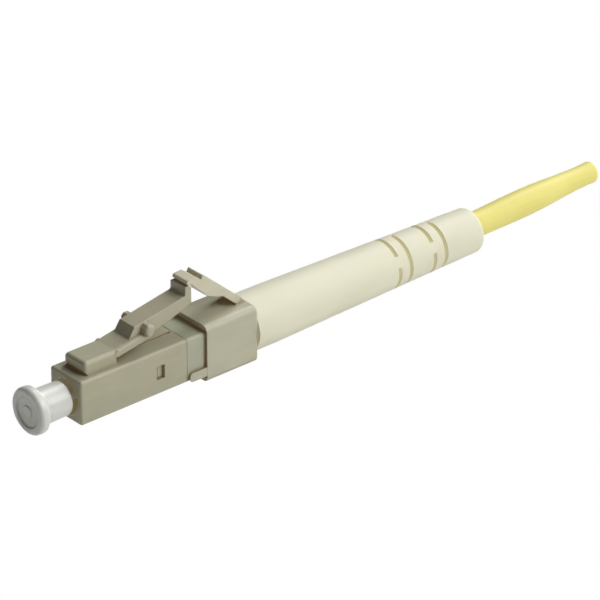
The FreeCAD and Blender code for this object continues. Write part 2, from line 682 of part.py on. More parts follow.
def make_rear_body():
    """Rear body: insert with side catches, square collar under the clip, knurled crimp stem."""
    body = new_body("rear_body")
    half = VALUES["housing_width"] / 2
    seam = VALUES["housing_length"]
    rear = VALUES["stem_start"]

    insert = new_sketch(body, "YZ_Plane", "insert_outline", "insert_front")
    add_box(insert, "-insert_width / 2", "-insert_width / 2", "insert_width / 2",
            "insert_width / 2")
    pad(body, insert, "housing_length - insert_front", "insert")
    collar = new_sketch(body, "YZ_Plane", "square_collar_outline", "housing_length")
    add_box(collar, "-housing_width / 2", "-housing_width / 2", HALF_HOUSING, HALF_HOUSING)
    pad(body, collar, "stem_start - housing_length", "square_collar")
    soften(body, "Fillet", lambda box: runs_along(box, "X") and at_corner(box, half, half),
           "housing_round", "collar_edges")

    def collar_end(box):
        wide = max(box.YMax, box.ZMax) > half - 0.1 or min(box.YMin, box.ZMin) < 0.1 - half
        flat = box.XLength < 0.001
        return flat and wide and (near(box.Center.x, seam, 0.001) or near(box.Center.x, rear, 0.001))
    soften(body, "Chamfer", collar_end, "seam_chamfer", "collar_seams")

    catch = new_sketch(body, "XY_Plane", "catch_outline")
    for side in ("", "-"):
        add_polygon(catch, (
            ("window_start + catch_gap", side + "(insert_width / 2 - 0.1)"),
            ("window_start + catch_gap + 0.3", side + "(insert_width / 2 + catch_reach)"),
            ("window_start + window_length - catch_gap",
             side + "(insert_width / 2 + catch_reach)"),
            ("window_start + window_length - catch_gap", side + "(insert_width / 2 - 0.1)"),
        ))
    pad(body, catch, "window_height - 2 * catch_gap", "catches", both_ways=True)
    add_stem(body)

    bore = new_sketch(body, "YZ_Plane", "stem_bore_outline", "insert_front - 0.1")
    add_circle(bore, "stem_bore / 2")
    pocket(body, bore, "stem_end", "stem_bore_cut")


def add_stem(body):
    """Crimp stem with V grooves round it."""
    count = int(VALUES["stem_ridges"])
    corners = [("stem_start - 0.5", "0"), ("stem_start - 0.5", "stem_diameter / 2")]
    pitch = "(stem_end - crimp_start) / %d" % count
    for index in range(count):
        ridge = "crimp_start + %d * %s" % (index, pitch)
        corners.append((ridge, "stem_diameter / 2"))
        corners.append((ridge + " + " + pitch + " / 2", "stem_diameter / 2 - ridge_depth"))
    corners.append(("stem_end", "stem_diameter / 2"))
    corners.append(("stem_end", "0"))
    profile = new_sketch(body, "XY_Plane", "stem_profile")
    add_polygon(profile, corners)
    revolve(body, profile, "stem")


YARN_OUTSIDE = "stem_diameter / 2 + yarn_layer"


def make_aramid_yarn():
    """Aramid yarn: folded forward over the stem under the ring, then round the buffer."""
    body = new_body("aramid_yarn")
    profile = new_sketch(body, "XY_Plane", "yarn_sleeve_profile")
    add_polygon(profile, (
        ("crimp_start", YARN_OUTSIDE),
        ("stem_end + 0.05", YARN_OUTSIDE),
        ("jacket_start", "jacket_bore / 2"),
        ("cord_bend_start", "jacket_bore / 2"),
        ("cord_bend_start", "buffer_diameter / 2"),
        ("stem_end + 0.05", "stem_bore / 2 - 0.15"),
        ("stem_end + 0.05", "stem_diameter / 2"),
        ("crimp_start", "stem_diameter / 2"),
    ))
    revolve(body, profile, "yarn_sleeve")
    follow_cord(body, "yarn", "jacket_bore / 2", "core_recess")
    bore_rise(body, "yarn", "buffer_diameter / 2")


def make_crimp_ring():
    """Crimp ring: wide over the yarn on the stem, narrow on the jacket."""
    make_sleeve("crimp_ring", (
        ("crimp_start", YARN_OUTSIDE + " + crimp_wall", YARN_OUTSIDE),
        ("crimp_neck - 0.3", YARN_OUTSIDE + " + crimp_wall", YARN_OUTSIDE),
        ("crimp_neck + 0.2", "cord_diameter / 2 + crimp_wall", "cord_diameter / 2"),
        ("crimp_end", "cord_diameter / 2 + crimp_wall", "cord_diameter / 2"),
    ))


# Clip and trigger

def make_retaining_clip():
    """Clip over the rear body: square hollow, round rear bore, side tabs and the trigger's seat."""
    body = new_body("retaining_clip")
    side = VALUES["clip_width"] / 2
    top = VALUES["clip_top"]
    bottom = VALUES["clip_bottom"]
    rear = VALUES["clip_end"]

    shell = new_sketch(body, "YZ_Plane", "clip_outline", "clip_start")
    add_box(shell, "-clip_width / 2", "-clip_bottom", "clip_width / 2", "clip_top")
    pad(body, shell, "clip_end - clip_start", "clip_block")
    soften(body, "Fillet", lambda box: runs_along(box, "X") and near(abs(box.Center.y), side)
           and near(box.Center.z, top), "clip_top_round", "clip_upper_edges")
    soften(body, "Fillet", lambda box: runs_along(box, "X") and near(abs(box.Center.y), side)
           and near(box.Center.z, -bottom), "clip_bottom_round", "clip_lower_edges")
    soften(body, "Fillet", lambda box: near(box.XMin, rear, 0.001), "clip_rear_round",
           "clip_rear_edge")

    tabs = new_sketch(body, "XZ_Plane", "tab_outline")
    add_box(tabs, "tab_start", "-tab_bottom", "clip_start + clip_rim_depth", "-tab_top")
    pad(body, tabs, "clip_width - 2 * seam_gap", "tabs", both_ways=True)
    start = VALUES["tab_start"]
    soften(body, "Fillet", lambda box: runs_along(box, "Y") and near(box.Center.x, start),
           "clip_bottom_round * 0.6", "tab_noses")

    add_trigger_seat(body)
    hollow_clip(body)


def add_trigger_seat(body):
    """Wedge at the clip's rear top edge with the round seat of the trigger's root."""
    wedge = new_sketch(body, "XZ_Plane", "seat_wedge_outline")
    add_polygon(wedge, (
        ("trigger_hinge_x - trigger_knuckle * 0.6", "clip_top - 0.3"),
        ("clip_end - clip_rear_round", "clip_top - 0.3"),
        ("clip_end - clip_rear_round", "clip_top"),
        ("trigger_hinge_x + trigger_knuckle * 0.72", "trigger_hinge_z + trigger_knuckle * 0.7"),
        ("trigger_hinge_x", "trigger_hinge_z"),
        ("trigger_hinge_x - trigger_knuckle * 0.6", "clip_top"),
    ))
    pad(body, wedge, "trigger_width", "seat_wedge", both_ways=True)
    seat = new_sketch(body, "XZ_Plane", "trigger_seat_outline")
    add_circle(seat, "trigger_knuckle + seam_gap", "trigger_hinge_x", "trigger_hinge_z")
    pocket(body, seat, "trigger_width + 2 * seam_gap", "trigger_seat_cut", both_ways=True)


def hollow_clip(body):
    """Flared mouth, square hollow for the rear body and round bore for the boot's neck."""
    for name, offset, gap, length in (
            ("mouth", "tab_start - 1", "clip_rim_gap", "clip_start - tab_start + 1 + clip_rim_depth"),
            ("square_hollow", "clip_start", "fit_gap", "clip_web_start - clip_start")):
        outline = new_sketch(body, "YZ_Plane", name + "_outline", offset)
        reach = "housing_width / 2 + " + gap
        add_box(outline, "-(" + reach + ")", "-(" + reach + ")", reach, reach)
        pocket(body, outline, length, name + "_cut")
    bore = new_sketch(body, "YZ_Plane", "clip_bore_outline", "clip_start")
    add_circle(bore, "clip_bore / 2")
    pocket(body, bore, "clip_end", "clip_bore_cut")


def make_trigger_arm():
    """Anti-snag trigger: root, sloping arm, thumb ridge and the pad over the latch's post."""
    body = new_body("trigger_arm")
    slope_x = "trigger_hinge_x - trigger_knuckle * 0.7"
    slope_z = "trigger_hinge_z - trigger_knuckle * 0.72"
    arm = new_sketch(body, "XZ_Plane", "arm_outline")
    add_polygon(arm, (
        ("pad_start", "pad_bottom"),
        ("pad_start", "pad_top - 0.06"),
        ("pad_start + pad_length", "pad_top"),
        ("groove_x - groove_run * 0.4", "pad_top - groove_drop * 0.6"),
        ("groove_x", "groove_z"),
        ("crest_x", "crest_z"),
        ("crest_x + ridge_run", "crest_z - ridge_rise * 0.2"),
        ("trigger_hinge_x + trigger_knuckle * 0.66", "trigger_hinge_z + trigger_knuckle * 0.76"),
        ("trigger_hinge_x", "trigger_hinge_z"),
        (slope_x, slope_z),
        ("trigger_hinge_x - 1.7", "trigger_hinge_z + 1.0"),
        ("trigger_hinge_x - 2.2", "trigger_hinge_z + 1.14"),
        ("pad_start + 2.38", "pad_bottom - 1.88"),
        ("pad_start + 0.5", "pad_bottom"),
    ))
    pad(body, arm, "trigger_width", "arm", both_ways=True)
    root = new_sketch(body, "XZ_Plane", "trigger_root_outline")
    add_circle(root, "trigger_knuckle", "trigger_hinge_x", "trigger_hinge_z")
    pad(body, root, "trigger_width", "trigger_root", both_ways=True)

    front = VALUES["pad_start"]
    soften(body, "Fillet", lambda box: runs_along(box, "Y") and near(box.Center.x, front),
           "pad_round", "pad_nose")
    crest = VALUES["crest_x"]
    soften(body, "Fillet", lambda box: runs_along(box, "Y") and near(box.Center.x, crest, 0.01),
           "small_round", "ridge_crest")


# Boot

BOOT_RADIUS_SLOPE = "(boot_front_diameter - boot_end_diameter) / 2 / (boot_end - boot_taper_start)"
CRIMP_RADIUS = YARN_OUTSIDE + " + crimp_wall"


def make_boot():
    """Tapered bend relief with two pairs of slot rings, each pair turned by a right angle."""
    body = new_body("boot")
    profile = new_sketch(body, "XY_Plane", "boot_profile")
    add_polygon(profile, (
        ("boot_neck_start", "boot_neck / 2"),
        ("clip_end", "boot_neck / 2"),
        ("clip_end", "boot_front_diameter / 2"),
        ("boot_taper_start", "boot_front_diameter / 2"),
        ("boot_end", "boot_end_diameter / 2"),
        ("boot_end", "boot_mouth / 2"),
        ("boot_mouth_start", "boot_bore / 2"),
        ("crimp_end + 0.2", "boot_bore / 2"),
        ("crimp_end + 0.2", "cord_diameter / 2 + crimp_wall + fit_gap"),
        ("crimp_neck + 0.25", "cord_diameter / 2 + crimp_wall + fit_gap"),
        ("crimp_neck - 0.25", CRIMP_RADIUS + " + fit_gap"),
        ("boot_neck_start", CRIMP_RADIUS + " + fit_gap"),
    ))
    revolve(body, profile, "boot_turn")
    end = VALUES["boot_end"]
    outer = VALUES["boot_end_diameter"] / 2
    soften(body, "Fillet", lambda box: near(box.XMin, end, 0.001) and near(box.ZMax, outer, 0.01),
           "boot_end_round", "boot_end_edge")

    slots = []
    for index in range(4):
        group, member = divmod(index, 2)
        start = "slot_first + %d * slot_group_step + %d * slot_step" % (group, member)
        radius = "(boot_end_diameter / 2 + (boot_end - (%s)) * %s)" % (start, BOOT_RADIUS_SLOPE)
        turn = "90 - slot_turn" if member == 0 else "-slot_turn"
        slots.append(cut_slot(body, index + 1, start, radius, turn))
    pattern = body.newObject("PartDesign::PolarPattern", "opposite_slots")
    pattern.Originals = slots
    pattern.Axis = (next(item for item in body.Origin.OriginFeatures if item.Role == "X_Axis"), [""])
    pattern.Angle = 360
    pattern.Occurrences = 2
    body.Tip = pattern


def cut_slot(body, number, start, radius, turn):
    """Cut one slot, centred on a plane that is turned about the boot's axis."""
    section = new_sketch(body, "XY_Plane", "slot_section_%d" % number, turn=turn)
    add_box(section, start, "-(%s + 0.3)" % radius, start + " + slot_length",
            "-(%s - slot_depth)" % radius)
    before = solid_of(body).Volume
    cut = body.newObject("PartDesign::Groove", "slot_%d" % number)
    cut.Profile = section
    cut.ReferenceAxis = (section, ["H_Axis"])
    cut.Midplane = True
    bind(cut, "Angle", "180 - slot_bridge")
    check_cut(body, before, "slot_%d" % number)
    return cut


# Cord

CORD_SLOPE = "cord_rise / (cord_end - cord_bend)"
CORD_ANGLE = "atan(%s)" % CORD_SLOPE
BEND_RADIUS = "(cord_bend - cord_bend_start) / tan(%s / 2)" % CORD_ANGLE
BEND_END = "cord_bend_start + %s * sin(%s)" % (BEND_RADIUS, CORD_ANGLE)
BEND_LIFT = "%s * (1 - cos(%s))" % (BEND_RADIUS, CORD_ANGLE)


def bend_section(body, name, radius):
    """Circle at the bend's start, with the bend's axis high above it."""
    section = new_sketch(body, "YZ_Plane", name + "_section", "cord_bend_start")
    add_circle(section, radius)
    axis = section.addGeometry(Part.LineSegment(Vector(0, 9, 0), Vector(1, 9, 0)), True)
    section.addConstraint(Sketcher.Constraint("Horizontal", axis))
    section.addConstraint(Sketcher.Constraint("DistanceX", axis, 1, axis, 2, 1.0))
    fix_point(section, axis, 1, "0", BEND_RADIUS)
    return section


def turn_through_bend(body, name, radius, kind):
    """Add or cut the bend as a short stretch of a very large ring."""
    feature = body.newObject("PartDesign::" + kind, name)
    section = bend_section(body, name, radius)
    feature.Profile = section
    feature.ReferenceAxis = (section, ["Axis0"])
    feature.Reversed = True
    bind(feature, "Angle", CORD_ANGLE)
    return feature


def rise_section(body, name, radius):
    """Circle at the end of the bend, square to the rising cord."""
    section = new_sketch(body, "YZ_Plane", name, BEND_END, "-" + CORD_ANGLE)
    bind(section, "AttachmentOffset.Base.y", BEND_LIFT)
    add_circle(section, radius)
    return section


def follow_cord(body, name, radius, recess):
    """Carry a round piece from the start of the bend to the cord's end."""
    turn_through_bend(body, name + "_bend", radius, "Revolution")
    length = "(cord_end - (%s) - (%s)) / cos(%s)" % (recess, BEND_END, CORD_ANGLE)
    pad(body, rise_section(body, name + "_rise_section", radius), length, name + "_rise")


def bore_cord(body, name, start, radius):
    """Bore a piece of the cord from its start to the cord's end."""
    hole = new_sketch(body, "YZ_Plane", name + "_hole_section", start)
    add_circle(hole, radius)
    pocket(body, hole, "cord_bend_start - (" + start + ")", name + "_hole")
    bore_rise(body, name, radius)


def bore_rise(body, name, radius):
    """Bore a piece of the cord from the start of the bend."""
    turn_through_bend(body, name + "_bend_hole", radius, "Groove")
    section = rise_section(body, name + "_rise_hole_section", radius)
    pocket(body, section, "cord_end - cord_bend_start", name + "_rise_hole")


def make_cord_layer(label, start, radius, inner):
    """One layer of the fibre: straight on the axis, then along the cord's bend and rise."""
    body = new_body(label)
    section = new_sketch(body, "YZ_Plane", label + "_section", start)
    add_circle(section, radius)
    pad(body, section, "cord_bend_start - (" + start + ")", label + "_straight")
    follow_cord(body, label, radius, "core_recess")
    if inner:
        bore_cord(body, label, start, inner)


def cord_height(place):
    """Height of the cord's centre: a parabola along the bend, then a straight rise."""
    bend = "(cord_bend - cord_bend_start)"
    along = "((%s) - cord_bend_start)" % place
    return "%s * (%s < 2 * %s ? %s ^ 2 / (4 * %s) : %s - %s)" % (
        CORD_SLOPE, along, bend, along, bend, along, bend)


def make_cable_jacket():
    """Jacket of the cord: slightly swollen behind the boot, narrowed and rounded at its end."""
    body = new_body("cable_jacket")
    plain = "cord_diameter / 2"
    tip = "cord_tip_diameter / 2"
    section = new_sketch(body, "YZ_Plane", "jacket_section", "jacket_start")
    add_circle(section, plain)
    pad(body, section, "cord_bend_start - jacket_start", "jacket_straight")
    stations = [("cord_bend_start", plain)]
    for part in ("0.66", "1.33", "2"):
        stations.append(("cord_bend_start + %s * (cord_bend - cord_bend_start)" % part, plain))
    stations += [("cord_swell_at", "cord_swell / 2"), ("cord_end - cord_tip_length", tip),
                 ("cord_end", tip)]
    sections = []
    for index, (place, radius) in enumerate(stations):
        station = new_sketch(body, "YZ_Plane", "jacket_station_%d" % (index + 1), place)
        add_circle(station, radius, "0", cord_height(place))
        sections.append(station)
    loft = body.newObject("PartDesign::AdditiveLoft", "jacket_loft")
    loft.Profile = sections[0]
    loft.Sections = sections[1:]
    end = VALUES["cord_end"]
    bore_cord(body, "jacket", "jacket_start", "jacket_bore / 2")
    reach = VALUES["jacket_bore"] + 0.1
    soften(body, "Fillet", lambda box: near(box.XMin, end, 0.001) and box.YLength > reach,
           "cord_tip_round", "cut_end")


def make_fibre():
    """Buffer, coating and glass, each a separate layer of the fibre."""
    make_cord_layer("fibre_buffer", TUBE_START, "buffer_diameter / 2", "coating_diameter / 2")
    make_cord_layer("fibre_coating", FERRULE_TAIL, "coating_diameter / 2", "glass_diameter / 2")
    make_cord_layer("glass_fibre", "-ferrule_reach", "glass_diameter / 2", None)


# Dust cap

def make_dust_cap():
    """Push-on cap: flange with a dished front, concave flare and a tube that grips the ferrule."""
    body = new_body("dust_cap")
    profile = new_sketch(body, "XY_Plane", "cap_profile")
    flange_rear = "-cap_front + cap_flange_length"
    flare = []
    steps = 6
    for index in range(steps + 1):
        angle = 90 * index // steps
        flare.append((flange_rear + " + cap_flare_length * (1 - cos(%d))" % angle,
                      "cap_neck / 2 + (cap_flange - cap_neck) / 2 * 0.55 * (1 - sin(%d))" % angle))
    grip = "ferrule_diameter / 2 + cap_grip_gap"
    reach = "-cap_stop"
    add_polygon(profile, [
        ("-cap_front + cap_dish_depth - cap_boss_height", "0"),
        ("-cap_front + cap_dish_depth - cap_boss_height", "cap_boss / 2 - cap_boss_height"),
        ("-cap_front + cap_dish_depth", "cap_boss / 2"),
        ("-cap_front + cap_dish_depth", "cap_dish / 2 - cap_dish_depth"),
        ("-cap_front", "cap_dish / 2"),
        ("-cap_front", "cap_flange / 2"),
        (flange_rear, "cap_flange / 2"),
    ] + flare + [
        (reach + " - 0.15", "cap_tube / 2"),
        (reach, "cap_tube / 2 - 0.15"),
        (reach, grip + " + 0.15"),
        (reach + " - 0.3", grip),
        ("-ferrule_reach - cap_wall", grip),
        ("-ferrule_reach - cap_wall - 0.2", "0"),
    ])
    revolve(body, profile, "cap_turn")
    radius = VALUES["cap_flange"] / 2
    front = -VALUES["cap_front"]
    soften(body, "Fillet",
           lambda box: near(box.XMax, front, 0.001) and near(box.ZMax, radius, 0.001),
           "cap_front_round", "flange_front")
    rear = front + VALUES["cap_flange_length"]
    soften(body, "Fillet",
           lambda box: near(box.XMin, rear, 0.001) and near(box.ZMax, radius, 0.001),
           "cap_rear_round", "flange_rear")


def check_and_export():
    """Check every object and write one STEP file for each sub-part."""
    document.recompute()
    for item in document.Objects:
        if "Invalid" in item.State or "Error" in item.State:
            raise RuntimeError("%s failed: %s" % (item.Label, item.State))
    os.makedirs("parts", exist_ok=True)
    for body in BODIES:
        if body.Shape.isNull() or not body.Shape.isValid() or not body.Shape.Solids:
            raise RuntimeError("%s has no valid solid" % body.Label)
    for body in BODIES:
        body.Shape.exportStep("parts/%s.step" % body.Label)
        print("%-16s %d solid(s), %.3f mm3" % (body.Label, len(body.Shape.Solids),
                                               body.Shape.Volume))


write_sheet()
make_front_housing()
make_latch_arm()
make_ferrule()
make_ferrule_flange()
make_guide_tube()
make_epoxy_fill()
make_spring()
make_rear_body()
make_aramid_yarn()
make_crimp_ring()
make_retaining_clip()
make_trigger_arm()
make_boot()
make_cable_jacket()
make_fibre()
make_dust_cap()
check_and_export()
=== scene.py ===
# %% [markdown]
# # A small fibre optic plug
#
# The object is a plug on the end of a cord that carries one glass fibre. A square moulded body
# holds a ceramic pin, a springy latch sits on top, a clip with a trigger slides over the rear, and
# a long tapering boot keeps the cord from bending sharply. A dust cap covers the pin. The solids
# come ready made from the CAD model, so this lesson is mostly about finishes and light: at this
# size the eye reads the material long before it reads the millimetres.

# %% Load the frame and measure it
import math

import bpy
from mathutils import Matrix, Vector


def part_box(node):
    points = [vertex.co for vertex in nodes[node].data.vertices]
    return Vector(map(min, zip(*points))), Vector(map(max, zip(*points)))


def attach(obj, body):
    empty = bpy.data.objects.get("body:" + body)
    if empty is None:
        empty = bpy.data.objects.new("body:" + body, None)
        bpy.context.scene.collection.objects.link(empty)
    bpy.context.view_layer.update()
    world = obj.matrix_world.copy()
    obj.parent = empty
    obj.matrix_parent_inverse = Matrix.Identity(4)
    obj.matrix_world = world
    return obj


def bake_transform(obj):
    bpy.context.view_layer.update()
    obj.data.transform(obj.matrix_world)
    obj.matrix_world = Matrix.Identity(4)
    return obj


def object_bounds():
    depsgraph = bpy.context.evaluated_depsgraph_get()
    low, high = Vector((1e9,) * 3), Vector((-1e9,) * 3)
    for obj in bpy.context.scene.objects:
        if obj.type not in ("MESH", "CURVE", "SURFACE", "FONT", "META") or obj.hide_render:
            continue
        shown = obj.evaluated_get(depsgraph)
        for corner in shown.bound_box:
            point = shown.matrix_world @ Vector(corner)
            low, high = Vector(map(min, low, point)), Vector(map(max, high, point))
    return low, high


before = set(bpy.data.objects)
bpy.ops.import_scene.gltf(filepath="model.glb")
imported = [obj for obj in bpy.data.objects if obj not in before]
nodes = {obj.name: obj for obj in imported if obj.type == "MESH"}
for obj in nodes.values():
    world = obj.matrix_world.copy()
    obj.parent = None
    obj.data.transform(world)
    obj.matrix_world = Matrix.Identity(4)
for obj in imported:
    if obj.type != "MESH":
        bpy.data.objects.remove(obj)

MM = 0.001
scene = bpy.context.scene
cad_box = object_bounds()
print("size in mm:", [round(side / MM, 2) for side in cad_box[1] - cad_box[0]])

# %% [markdown]
# ## Shader maths as ordinary arithmetic
#
# A procedural finish is mostly sums: this noise times that mask, one minus a gap. Math nodes could
# be added and wired one by one, but that hides the sum. So one small class wraps a socket and turns
# +, -, * and ** into Math nodes, also where a plain number comes first. Two more methods make a
# soft step and cut a value off, because masks need them all the time.

# %% Arithmetic on sockets


class Signal:
    """A number that varies over a surface, usable in Python arithmetic."""

    def __init__(self, finish, socket):
        self.finish = finish
        self.socket = socket

    def _math(self, operation, first, second):
        node = self.finish.node("ShaderNodeMath", {"operation": operation}, {0: first, 1: second})
        return Signal(self.finish, node.outputs[0])

    def __add__(self, other):
        return self._math("ADD", self, other)

    def __radd__(self, other):
        return self._math("ADD", other, self)

    def __sub__(self, other):
        return self._math("SUBTRACT", self, other)

    def __rsub__(self, other):
        return self._math("SUBTRACT", other, self)

    def __mul__(self, other):
        return self._math("MULTIPLY", self, other)

    def __rmul__(self, other):
        return self._math("MULTIPLY", other, self)

    def __pow__(self, other):
        return self._math("POWER", self, other)

    def above(self, level, softness):
        """Nought below a level and one above it, with a soft step between."""
        node = self.finish.node("ShaderNodeMapRange", {"interpolation_type": "SMOOTHSTEP"},
                                {"Value": self, "From Min": level, "From Max": level + softness})
        return Signal(self.finish, node.outputs["Result"])

    def between(self, low, high):
        """Cut the value off below low and above high."""
        return self._math("MINIMUM", self._math("MAXIMUM", self, low), high)


print("masks can be made with:", [name for name in vars(Signal) if not name.startswith("_")])

# %% [markdown]
# ## Colours and the steps of a finish
#
# Colour charts give red, green and blue from 0 to 255 as a screen shows them, while a shader works
# with amounts of light. One function turns the first into the second, and another makes a shade of
# a colour. Then comes the class that all finishes use. Its method node adds any node: it takes the
# settings first and then the inputs, because some settings change which sockets a node has. The
# other methods are the steps that come back in most recipes: noise, rounded edges, crevices, bump.

# %% Colours


def linear(red, green, blue):
    """A colour as a chart gives it, 0 to 255, turned into the linear values of a shader."""
    def channel(value):
        part = value / 255
        return part / 12.92 if part <= 0.04045 else ((part + 0.055) / 1.055) ** 2.4
    return (channel(red), channel(green), channel(blue), 1.0)


def shaded(colour, factor):
    """The same colour, darker or lighter by a factor."""
    return tuple(min(1.0, part * factor) for part in colour[:3]) + (1.0,)


print("middle grey as a shader sees it:", round(linear(128, 128, 128)[0], 3))

# %% The steps of a finish


class Finish:
    """A material, or a world, in the making: its nodes are added by one method."""

    def __init__(self, name, world=None):
        self.owner = world or bpy.data.materials.new(name)
        self.owner.use_nodes = True
        self.tree = self.owner.node_tree
        self.tree.nodes.clear()
        self.output = self.node("ShaderNodeOutputWorld" if world else "ShaderNodeOutputMaterial")
        self.place = None if world else self.node("ShaderNodeTexCoord").outputs["Object"]

    def node(self, kind, settings=None, inputs=None):
        """Add a node, set its settings, then give its sockets values or links."""
        node = self.tree.nodes.new(kind)
        for key, value in (settings or {}).items():
            setattr(node, key, value)
        for key, value in (inputs or {}).items():
            socket = node.inputs[key]
            if isinstance(value, Signal):
                value = value.socket
            if isinstance(value, bpy.types.NodeSocket):
                self.tree.links.new(value, socket)
            else:
                socket.default_value = value
        return node

    def stretched(self, along=1.0, across=1.0, up=1.0):
        """The place in millimetres, stretched along each axis."""
        scale = (along / MM, across / MM, up / MM)
        return self.node("ShaderNodeMapping", {}, {"Vector": self.place,
                                                  "Scale": scale}).outputs["Vector"]

    def noise(self, scale, detail=2.0, place=None, roughness=0.5):
        """Soft noise; the scale is in features for each millimetre."""
        node = self.node("ShaderNodeTexNoise", {}, {"Vector": place or self.stretched(),
                                                    "Scale": scale, "Detail": detail,
                                                    "Roughness": roughness})
        return Signal(self, node.outputs["Fac"])

    def axis(self, letter):
        """One coordinate of the place, in millimetres."""
        node = self.node("ShaderNodeSeparateXYZ", {}, {0: self.place})
        return Signal(self, node.outputs[letter]) * (1 / MM)

    def mix(self, factor, first, second):
        """Mix two colours; a colour mix has its colour sockets at 6, 7 and, going out, 2."""
        node = self.node("ShaderNodeMix", {"data_type": "RGBA"}, {0: factor, 6: first, 7: second})
        return node.outputs[2]

    def soft_normal(self, radius_mm):
        """The surface's normal with its sharp edges rounded over a small radius."""
        return self.node("ShaderNodeBevel", {"samples": 4},
                         {"Radius": radius_mm * MM}).outputs["Normal"]

    def edges(self, rounded):
        """A mask that is one along edges: there the rounded and the true normal part."""
        true = self.node("ShaderNodeNewGeometry").outputs["Normal"]
        dot = self.node("ShaderNodeVectorMath", {"operation": "DOT_PRODUCT"},
                        {0: rounded, 1: true}).outputs["Value"]
        return ((1 - Signal(self, dot)) * 5.0).between(0.0, 1.0)

    def crevices(self, reach_mm):
        """A mask that is one deep in a gap and nought on open faces."""
        node = self.node("ShaderNodeAmbientOcclusion", {"samples": 8},
                         {"Distance": reach_mm * MM})
        return 1 - Signal(self, node.outputs["AO"])

    def bump(self, height, strength, depth_mm, normal=None):
        """Turn a height into small unevenness of the surface."""
        inputs = {"Height": height, "Strength": strength, "Distance": depth_mm * MM}
        if normal is not None:
            inputs["Normal"] = normal
        return self.node("ShaderNodeBump", {}, inputs).outputs["Normal"]

    def show(self, shader):
        """Send a shader to the output, and hand back the finished material or world."""
        self.tree.links.new(shader.outputs[0], self.output.inputs["Surface"])
        return self.owner

    def close(self, **sockets):
        """End the recipe in a Principled shader with the given sockets."""
        inputs = {key.replace("_", " "): value for key, value in sockets.items()}
        return self.show(self.node("ShaderNodeBsdfPrincipled", {}, inputs))


print("steps of a finish:", [name for name in vars(Finish) if not name.startswith("_")])

# %% [markdown]
# ## Moulded housing plastic
#
# The body, the latch, the rear body and the clip are moulded in a beige engineering plastic. Real
# mouldings are never one colour: the melt leaves faint streaks along its flow, and the cut steel
# leaves a fine grain that breaks up the gloss. Thin edges catch more light, and that is painted
# into the colour as a pale highlight. Gaps go a warm brown because light that enters the plastic
# comes out coloured; there the colour gets a painted brown shade, and a weak emission in the gaps
# and in the body's bore is painted light. One function holds the recipe, and each moulding gives it
# its own tint; the trigger's is lighter than the clip's, a painted light that lifts it out of
# shade.

# %% Housing plastic
BLACK = (0.0, 0.0, 0.0, 1.0)
# Painted shade and painted glow for the gaps, a painted glow for the bore, a painted edge
# highlight.
BEIGE_PAINTED_SHADE = linear(138, 108, 64)
GAP_PAINTED_GLOW = linear(74, 58, 34)
BORE_PAINTED_GLOW = linear(82, 75, 56)
PAINTED_EDGE_HIGHLIGHT = linear(206, 200, 176)
BORE_RADIUS_MM = 1.84
BORE_DEPTH_MM = 2.2


def housing_plastic(name, colour, edge_highlight, gloss, gap_reach, round_mm=0.1):
    """Beige moulded plastic: flow streaks, fine grain, painted pale edges, painted shade and glow
    in gaps.
    """
    finish = Finish(name)
    streaks = finish.noise(0.9, 3.0, finish.stretched(0.25, 1.4, 1.4))
    clouds = finish.noise(0.35, 2.0)
    grain = finish.noise(26.0, 2.0)
    pits = finish.noise(7.0, 3.0, roughness=0.7)
    rounded = finish.soft_normal(round_mm)
    edge = finish.edges(rounded)
    gap = finish.crevices(gap_reach)
    deep = ((gap - 0.5) * 2.4).between(0.0, 1.0)
    across, up = finish.axis("Y"), finish.axis("Z")
    from_axis = (across * across + up * up) ** 0.5
    # Mask of the bore, where a painted glow lightens the dark hole behind the cap.
    in_bore = ((1 - from_axis.above(BORE_RADIUS_MM, 0.06))
               * (1 - finish.axis("X").above(BORE_DEPTH_MM, 0.3)))

    darker, lighter = shaded(colour, 0.9), shaded(colour, 1.09)
    shade = (clouds * 0.55 + streaks * 0.45 - 0.5) * 1.6 + 0.5
    base = finish.mix(shade.between(0.0, 1.0), darker, lighter)
    base = finish.mix(pits.above(0.62, 0.12) * 0.18, base, darker)
    # Painted highlight: the colour goes pale along rounded edges.
    base = finish.mix(edge * 0.5, base, edge_highlight)
    # Painted shade: the colour turns a dark warm brown in gaps and corners.
    base = finish.mix(((gap - 0.25) * 1.3).between(0.0, 1.0), base, BEIGE_PAINTED_SHADE)

    relief = grain * 0.7 + pits * 0.3
    return finish.close(
        Base_Color=base,
        Roughness=gloss + (pits - 0.5) * 0.16,
        Normal=finish.bump(relief, 0.22, 0.012, rounded),
        # Painted light: deep gaps glow a weak brown, and the inside of the bore a dull tan.
        Emission_Color=finish.mix(in_bore, finish.mix(deep ** 1.5, BLACK, GAP_PAINTED_GLOW), BORE_PAINTED_GLOW),
        Emission_Strength=1.0,
        IOR=1.5)


housing_beige = housing_plastic("housing_beige", linear(170, 166, 141), PAINTED_EDGE_HIGHLIGHT, 0.40, 1.2)
finishes = {
    "front_housing": housing_beige,
    "latch_arm": housing_plastic("latch_beige", linear(171, 166, 142), PAINTED_EDGE_HIGHLIGHT, 0.42, 1.2, 0.14),
    "rear_body": housing_plastic("rear_beige", linear(168, 169, 147), linear(200, 200, 182),
                                 0.38, 1.0),
    "retaining_clip": housing_plastic("clip_beige", linear(180, 177, 154), linear(214, 209, 188),
                                      0.40, 1.2),
    # The trigger arm is part of the clip, yet its beige is lighter: painted light that lifts it
    # from shade.
    "trigger_arm": housing_plastic("trigger_painted_light_beige", linear(204, 198, 173), linear(214, 208, 184),
                                   0.42, 1.2, 0.16),
}
print("moulded finishes:", sorted(finishes))

